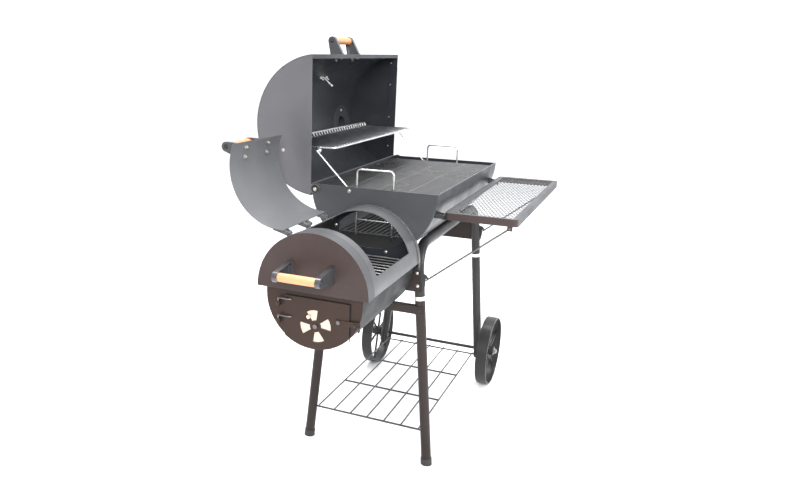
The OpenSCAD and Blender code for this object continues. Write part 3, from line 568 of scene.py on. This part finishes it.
# ---------- warming rack ----------
def warming_rack():
    """Deck wires run front to back and turn up into a rear fence, on a wire frame with four eyes; the deck's
    middle runs are darker, as painted shade under the lid.
    """
    low, high = span("warming_rack")
    near, far = low.x + 6, high.x - 6
    frame_r, cross_r, deck_r = 2.5, 2.2, 1.9
    front, rear, joint_y, deck = low.y + frame_r, 298, 212, 938
    fence_y, fence_z = high.y - frame_r, high.z - frame_r
    piece, shaded = Piece(), Piece()
    gaps, lie = 31, deck + 3.4
    for i in range(gaps + 1):
        x = near + 6 + (far - near - 12) * i / gaps
        wire(piece, [(x, front - 3, deck - 1), (x, front + 1, lie), (x, front + 5, lie)], deck_r, 10)
        # Painted shade: the deck's middle runs take the darker copy of the rack wire.
        wire(shaded, [(x, front + 5, lie), (x, rear - 6, lie)], deck_r, 10)
        back = [(x, rear - 6, lie), (x, rear - 1, lie), (x, fence_y, fence_z)]
        wire(piece, rounded(back, 3, 4), deck_r, 10)
    shaded.make("warming_rack_deck_wires", "rack", SHADED_DECK_WIRE, "plated")
    front_route = [(near, joint_y, deck), (near, front, deck), (far, front, deck), (far, joint_y, deck)]
    wire(piece, rounded(front_route, 12), frame_r, 12)
    back_route = [(near, joint_y, deck), (near, rear, deck), (near, fence_y, fence_z)]
    back_route += [(far, fence_y, fence_z), (far, rear, deck), (far, joint_y, deck)]
    wire(piece, rounded(back_route, 7), frame_r, 12)
    for y in (front + 58, front + 116, rear):
        wire(piece, [(near, y, deck), (far, y, deck)], cross_r, 12)
    for x, side in ((low.x + 2, near), (high.x - 2, far)):
        for y, z in (RACK_PIVOT, STRUT_TOP):
            turned(piece, (x - 2, y, z), X, [(0, 5.6), (0.6, 6.5), (3.4, 6.5), (4, 5.6)], 28)
            block(piece, (x, y, (z + 5 + deck + 2) / 2), (3, 9, deck - z - 1))
            wire(piece, [(x, y, deck), (side, y, deck)], cross_r)
    piece.make("warming_rack_wires", "rack", RACK_WIRE, "plated", ["warming_rack"])


warming_rack()


# ---------- shelf mesh ----------
def shelf_mesh():
    """Expanded metal: thin slanted strands round staggered diamonds."""
    low, high = span("shelf_mesh")
    cols, rows, margin, lean = 25, 15, 3, 0.35
    w, h = (high.x - low.x - 2 * margin) / cols, (high.y - low.y - 2 * margin) / rows
    z = high.z - 0.3
    piece = Piece()

    def strand(a, b, tilt):
        """One flat strand between two points, leaning a little."""
        ahead = (b - a).normalized()
        across = Z.cross(ahead).normalized()
        side = (across + Z * tilt).normalized()
        block(piece, (a + b) / 2, ((b - a).length + 0.8, 1.7, 0.8), (ahead, side, ahead.cross(side)))

    for j in range(rows):
        for i in range(cols):
            cx, cy = low.x + margin + (i + 0.5) * w, low.y + margin + (j + 0.5) * h
            left, right = Vector((cx - w / 2, cy, z)), Vector((cx + w / 2, cy, z))
            front, rear = Vector((cx, cy - h / 2, z)), Vector((cx, cy + h / 2, z))
            strand(left, rear, lean)
            strand(rear, right, lean)
            strand(left, front, -lean)
            strand(front, right, -lean)
    piece.make("shelf_expanded_mesh", "shelf", MATERIALS["mesh"], "mesh", ["shelf_mesh"])


shelf_mesh()


# ---------- wheels ----------
def wheel(node, body):
    """A flat steel rim with rolled edges, round spokes and a plain hub."""
    low, high = span(node)
    hub, r = (low + high) / 2, (high.z - low.z) / 2
    inner = Vector((hub.x, low.y + 1, hub.z))
    width = high.y - low.y - 2
    rim, spokes = Piece(), Piece()
    lip = r - 5.5
    profile = [(0, lip), (0, r - 0.8), (0.8, r), (width - 0.8, r), (width, r - 0.8), (width, lip)]
    profile += [(width - 2.2, lip), (width - 2.6, r - 3), (2.6, r - 3), (2.2, lip)]
    steps, n = 96, len(profile)
    verts, faces = [], []
    for k in range(steps):
        a = 2 * math.pi * k / steps
        ray = Vector((math.cos(a), 0, math.sin(a)))
        verts += [inner + Y * d + ray * q for d, q in profile]
    for k in range(steps):
        m = (k + 1) % steps
        faces += [[k * n + i, k * n + (i + 1) % n, m * n + (i + 1) % n, m * n + i] for i in range(n)]
    rim.add(verts, faces)
    rim.make(node + "_rim", body, MATERIALS["frame_paint"], "frame_paint", [node])
    for k in range(6):
        a = math.radians(15 + 60 * k)
        ray = Vector((math.cos(a), 0, math.sin(a)))
        wire(spokes, [hub + ray * 14, hub + ray * (r - 3)], 4.2, 14)
    turned(spokes, inner, Y, [(0, 15.5), (1.5, 17), (width - 1.5, 17), (width, 15.5)], 36)
    spokes.make(node + "_spokes", body, MATERIALS["frame_paint"], "frame_paint")


wheel("front_wheel", "front_wheel")
wheel("rear_wheel", "rear_wheel")


# ---------- grips ----------
def grip(node, body, axis, mat):
    """A turned wooden grip with eased ends and a shallow swell."""
    low, high = span(node)
    length = (high - low)["XYZ".index(axis)]
    direction = {"X": X, "Y": Y}[axis]
    start = middle(node) - direction * (length / 2)
    steps, ease, end_r, r = 18, 1.2, 9.2, 10.5
    profile = [(0, end_r)]
    for k in range(steps + 1):
        t = k / steps
        profile.append((ease + (length - 2 * ease) * t, r + 0.5 * math.sin(math.pi * t)))
    profile.append((length, end_r))
    piece = Piece()
    turned(piece, start, direction, profile, 48)
    piece.make(node + "_turned", body, mat, "wood", [node])


grip("lid_grip", "lid", "X", MATERIALS["wood"])
grip("hatch_grip", "hatch", "X", MATERIALS["wood"])
grip("carry_grip", "stand", "Y", WOOD_ACROSS)


# ---------- fasteners ----------
def inward_on_hatch(x, angle):
    """A place on the open hatch's inner face and the way it faces."""
    a = math.radians(angle)
    closed = HOOD_CENTRE + Vector((x, HATCH_INNER_R * math.cos(a), HATCH_INNER_R * math.sin(a)))
    place, target = hatch_at_rest(closed), hatch_at_rest(HOOD_CENTRE + Vector((x, 0, 0)))
    return place, target - place


def handle_bolts(piece, node, grip_node):
    """Bolts in the ends of a grip that lies along X; gives the brackets' middles along X."""
    low, high = span(node)
    centre = middle(grip_node)
    for x, axis in ((low.x, -X), (high.x, X)):
        dome(piece, (x, centre.y, centre.z), axis, 4.6)
    return low.x + 7, high.x - 7


def stand_fasteners():
    """Everything bolted to the stand, the chamber and the firebox, and two painted shadow strips round the
    firebox door.
    """
    dark, bright = Piece(), Piece()
    near, far = [corner.x for corner in span("cradle_plates")]
    leg_foot_y, leg_lean = 200, 0.0975
    for side in (-1, 1):
        for z in (570, 608):
            y = side * (leg_foot_y - leg_lean * z)
            dome(bright if side < 0 else dark, (near, y, z), -X, 3.4)
            dome(dark, (far, y, z), X, 4.6)
        dome(dark, (near, side * 151.6, 496), -X, 4.6)
        hub = middle("front_wheel" if side < 0 else "rear_wheel")
        end = span("axle")[0 if side < 0 else 1].y
        hex_nut(bright, (hub.x, end - side * 3, hub.z), Y * side, 9, 7)
        wire(dark, [(hub.x, side * 203.2, hub.z), (hub.x, side * 201, hub.z)], 13, 24)
        for x in (-330, -60):
            hex_nut(dark, (x, side * 139, 644), Z, 4.5, 4)
    low, high = span("carry_handle_brackets")
    face, grip_z = span("firebox_hood_end")[0].x, middle("carry_grip").z
    for y in (low.y + 7, high.y - 7):
        for dz in (-14, 14):
            dome(dark, (face - 2, y, grip_z + dz), -X, 3.6)
    for y, axis in ((low.y, -Y), (high.y, Y)):
        dome(dark, (low.x + 13, y, grip_z), axis, 4.6)
    for y, z in ((-47, 660), (110, 722)):
        hex_nut(bright, (-2, y, z), -X, 4.4, 4)
    for x, axis in ((-0.2, -X), (LENGTH + 0.2, X)):
        dome(bright, (x, *STRUT_FOOT), axis, 4.4)
        turned(dark, (x + 6.2 * axis.x, *LID_PIVOT), axis, [(0, 12), (1.5, 12), (2.2, 10.5)], 28)
        dome(bright, (x + 8 * axis.x, *LID_PIVOT), axis, 4.2)
        wire(bright, [(x, *STRUT_FOOT), (x - 11 * axis.x, *STRUT_FOOT)], 2.95, 16)
    low, high = span("door_plate")
    dome(dark, (low.x - 4, *LATCH_PEG), -X, 3.6)
    wire(dark, [(low.x - 4, *LATCH_PEG), (low.x + 8, *LATCH_PEG)], 2.9, 14)
    # Two thin black strips on the firebox front, along the door's top and right edges: painted shadow of the
    # gap round the door.
    front, shadow_strip_foot = span("firebox_front")[0].x, 528
    block(dark, (front - 0.4, (low.y + high.y) / 2 - 1, high.z + 0.9), (0.8, high.y - low.y, 2.2))
    block(dark, (front - 0.4, low.y - 0.9, (high.z + shadow_strip_foot) / 2), (0.8, 2.2, high.z - shadow_strip_foot))
    dark.make("stand_dark_bolts_and_door_shadow", "stand", BLACK_SCREW, "zinc", ["frame_bolts"])
    bright.make("stand_bright_bolts", "stand", MATERIALS["zinc"], "zinc")


def lid_fasteners():
    """Pivots, nuts inside the lid and the rivets of its strips."""
    dark, bright = Piece(), Piece()
    for x in handle_bolts(dark, "lid_handle_brackets", "lid_grip"):
        for d in (-2.8, 2.8):
            inner = round_lid(69.5 + d, x, LID_R - 2)
            hex_nut(bright, inner, LID_CENTRE + Vector((x, 0, 0)) - inner, 4.6, 4)
    for x, axis in ((-3, -X), (LENGTH + 3, X)):
        dome(bright, (x, *RACK_PIVOT), axis, 4)
        wire(bright, [(x, *RACK_PIVOT), (x - 24 * axis.x, *RACK_PIVOT)], 2.95, 16)
        for z in (870, 975, 1090, 1165):
            dome(bright, (x - 3.8 * axis.x, 216, z), -axis, 2.1)
    chimney_x, chimney_z = 600, 945
    for dz in (-54, 54):
        z = chimney_z + dz
        depth = math.sqrt((LID_R - 4) ** 2 - (z - LID_CENTRE.z) ** 2)
        dome(bright, (chimney_x, LID_CENTRE.y + depth, z), -Y, 4.4)
        hex_nut(dark, (chimney_x, LID_CENTRE.y + depth + 6, z), Y, 5, 5)
    dark.make("lid_dark_bolts", "lid", BLACK_SCREW, "zinc", ["lid_bolts"])
    bright.make("lid_bright_bolts", "lid", MATERIALS["zinc"], "zinc")


def hatch_fasteners():
    """Nuts that hold the hatch's handle, on its inner face."""
    dark, bright = Piece(), Piece()
    for x in handle_bolts(dark, "hatch_handle_brackets", "hatch_grip"):
        for d in (-5, 5):
            place, aim = inward_on_hatch(x, 154 + d)
            hex_nut(bright, place, aim, 4.8, 4)
    dark.make("hatch_dark_bolts", "hatch", BLACK_SCREW, "zinc")
    bright.make("hatch_bright_bolts", "hatch", MATERIALS["zinc"], "zinc")


stand_fasteners()
lid_fasteners()
hatch_fasteners()


# ---------- seams and rolled edges ----------
def arc(centre, r, first, last, x, steps=48):
    """Points round an axis along X, from one angle to another."""
    out = []
    for k in range(steps + 1):
        a = math.radians(first + (last - first) * k / steps)
        out.append(Vector((x, centre.y + r * math.cos(a), centre.z + r * math.sin(a))))
    return out


def seams():
    """Rolled sheet edges and weld seams."""
    lid, stand, hatch = Piece(), Piece(), Piece()
    lip_angle = math.degrees(math.acos(20 / LID_R))
    for x in (-2, LENGTH + 2):
        wire(lid, arc(LID_CENTRE, LID_R - 1.0, -lip_angle, lip_angle, x), 1.3, 8)
    for x, r in ((-388, 149.2), (-350.5, 148.6), (-13.6, 149.2)):
        wire(stand, arc(HOOD_CENTRE, r, 0, 180, x), 0.9, 8)
    mouth_near, mouth_far, mouth_r = -320, -75, 145.9
    for x in (mouth_near, mouth_far):
        wire(stand, arc(HOOD_CENTRE, mouth_r, 59, 162, x), 1.0, 8)
    for a in (58, 163):
        edge = arc(HOOD_CENTRE, mouth_r, a, a, 0, 1)[0]
        wire(stand, [(mouth_near, edge.y, edge.z), (mouth_far, edge.y, edge.z)], 1.0, 8)
    for y in (-CHAMBER_R, CHAMBER_R):
        wire(stand, [(1, y, RIM_Z), (LENGTH - 1, y, RIM_Z)], 1.5, 10)
    wire(stand, arc(Vector((0, 0, RIM_Z)), CHAMBER_R, 180, 360, 0.6), 0.9, 8)
    hatch_near, hatch_far, hatch_r = -325, -70, HATCH_INNER_R + 1
    for x in (hatch_near, hatch_far):
        closed = arc(HOOD_CENTRE, hatch_r, *HATCH_ANGLES, x)
        wire(hatch, [hatch_at_rest(p) for p in closed], 1.1, 8)
    for a in HATCH_ANGLES:
        edge = hatch_at_rest(arc(HOOD_CENTRE, hatch_r, a, a, 0, 1)[0])
        wire(hatch, [(hatch_near, edge.y, edge.z), (hatch_far, edge.y, edge.z)], 1.1, 8)
    lid.make("lid_rolled_edges", "lid", MATERIALS["body_paint"], "body_paint")
    stand.make("stand_seams", "stand", MATERIALS["hood_paint"], "hood_paint")
    hatch.make("hatch_rolled_edges", "hatch", MATERIALS["hood_paint"], "hood_paint")


seams()


# ---------- thermometer ----------
def thermometer():
    """Bezel, face, divisions and pointer on the outside of the lid."""
    angle, x = 39.5, LENGTH / 2
    out = (round_lid(angle, x, 1) - (LID_CENTRE + Vector((x, 0, 0)))).normalized()
    upwards = out.cross(X).normalized()
    seat = round_lid(angle, x, LID_R + 10.4)
    bezel, face, marks, pointer = Piece(), Piece(), Piece(), Piece()
    profile = [(0, 31), (8, 31.5), (10.5, 30.6), (11.2, 29), (10.6, 27.4), (9.3, 27)]
    turned(bezel, seat - out * 9, out, profile, 72)
    turned(face, seat, out, [(0, 27.6), (0.5, 27.6)], 72)
    divisions = 24
    for k in range(divisions + 1):
        a = math.radians(-135 + 270 * k / divisions)
        ray = X * math.sin(a) + upwards * math.cos(a)
        long = 5 if k % 4 == 0 else 2.8
        block(marks, seat + out * 0.7 + ray * (25 - long / 2), (0.7, long, 0.3), (ray.cross(out), ray, out))
    ray = (X * -0.5 + upwards * 0.85).normalized()
    block(pointer, seat + out * 1.4 + ray * 7, (1.3, 25, 0.5), (ray.cross(out), ray, out))
    turned(pointer, seat + out * 0.8, out, [(0, 2.6), (1.2, 2.6), (1.6, 2)], 24)
    bezel.make("thermometer_bezel", "lid", MATERIALS["plated"], "plated")
    face.make("thermometer_face", "lid", DIAL, "zinc")
    marks.make("thermometer_marks", "lid", BLACK_SCREW, "zinc")
    pointer.make("thermometer_pointer", "lid", RED, "zinc")


thermometer()


# ---------- floor, light and camera ----------
def floor():
    """A plain pale floor, just under the feet."""
    mat, tree, shader = material("floor", (0.82, 0.82, 0.83), 0.8)
    shade = remap(tree, noise(tree, 2, 3), 0.3, 0.7, 0, 1)
    pale = mix(tree, shade, (0.81, 0.81, 0.82), (0.84, 0.84, 0.85))
    tree.links.new(pale, shader.inputs["Base Color"])
    mesh = bpy.data.meshes.new("floor")
    half, z = 60, -0.0004
    corners = [(-half, -half, z), (half, -half, z), (half, half, z), (-half, half, z)]
    mesh.from_pydata(corners, [], [[0, 1, 2, 3]])
    obj = bpy.data.objects.new("floor", mesh)
    bpy.context.scene.collection.objects.link(obj)
    mesh.materials.append(mat)


def area_light(name, place, size, power):
    """A soft white light that faces the middle of the object."""
    data = bpy.data.lights.new(name, "AREA")
    data.shape = "RECTANGLE"
    data.size, data.size_y = size
    data.energy = power
    obj = bpy.data.objects.new(name, data)
    obj.location = place
    obj.rotation_euler = (Vector((0, 0, 0.6)) - Vector(place)).to_track_quat("-Z", "Y").to_euler()
    bpy.context.scene.collection.objects.link(obj)


def studio():
    """A pale backdrop all round, brighter on the far side, and three soft lights."""
    world = bpy.data.worlds.new("studio")
    bpy.context.scene.world = world
    world.use_nodes = True
    tree = world.node_tree
    backdrop = tree.nodes["Background"]
    where = tree.nodes.new("ShaderNodeTexCoord")
    towards = tree.nodes.new("ShaderNodeVectorMath")
    towards.operation = "DOT_PRODUCT"
    far_side = (0.86, 0.42, 0.29)
    towards.inputs[1].default_value = far_side
    tree.links.new(where.outputs["Generated"], towards.inputs[0])
    glow = remap(tree, towards.outputs["Value"], -0.6, 0.6, 0.95, 1.6)
    tree.links.new(glow, backdrop.inputs["Strength"])
    backdrop.inputs["Color"].default_value = (0.96, 0.98, 1.0, 1)
    bpy.context.scene.view_settings.view_transform = "Standard"
    area_light("camera side", (-3.4, -1.5, 2.2), (1.8, 1.4), 200)
    area_light("shelf side", (0.4, -3.6, 2.0), (1.6, 1.4), 90)
    area_light("top", (0.4, 0.2, 3.4), (2.4, 1.8), 170)


def camera():
    """The photograph's camera, found by fitting the object's corners to the picture."""
    yaw, pitch, roll = [math.radians(angle) for angle in (25.734, 18.018, 0.656)]
    place = at(-1892.1, -727.7, 1200)
    ahead = Vector((math.cos(yaw) * math.cos(pitch), math.sin(yaw) * math.cos(pitch), -math.sin(pitch)))
    level = Vector((math.sin(yaw), -math.cos(yaw), 0))
    down = ahead.cross(level)
    right = level * math.cos(roll) - down * math.sin(roll)
    down = level * math.sin(roll) + down * math.cos(roll)
    data = bpy.data.cameras.new("camera")
    data.sensor_width = 36
    data.lens = 32.63
    data.shift_x = 0.1095
    data.shift_y = 0.0473
    obj = bpy.data.objects.new("camera", data)
    turn = Matrix((right, -down, -ahead)).transposed().to_4x4()
    obj.matrix_world = Matrix.Translation(place) @ turn
    bpy.context.scene.collection.objects.link(obj)
    bpy.context.scene.camera = obj


floor()
studio()
camera()
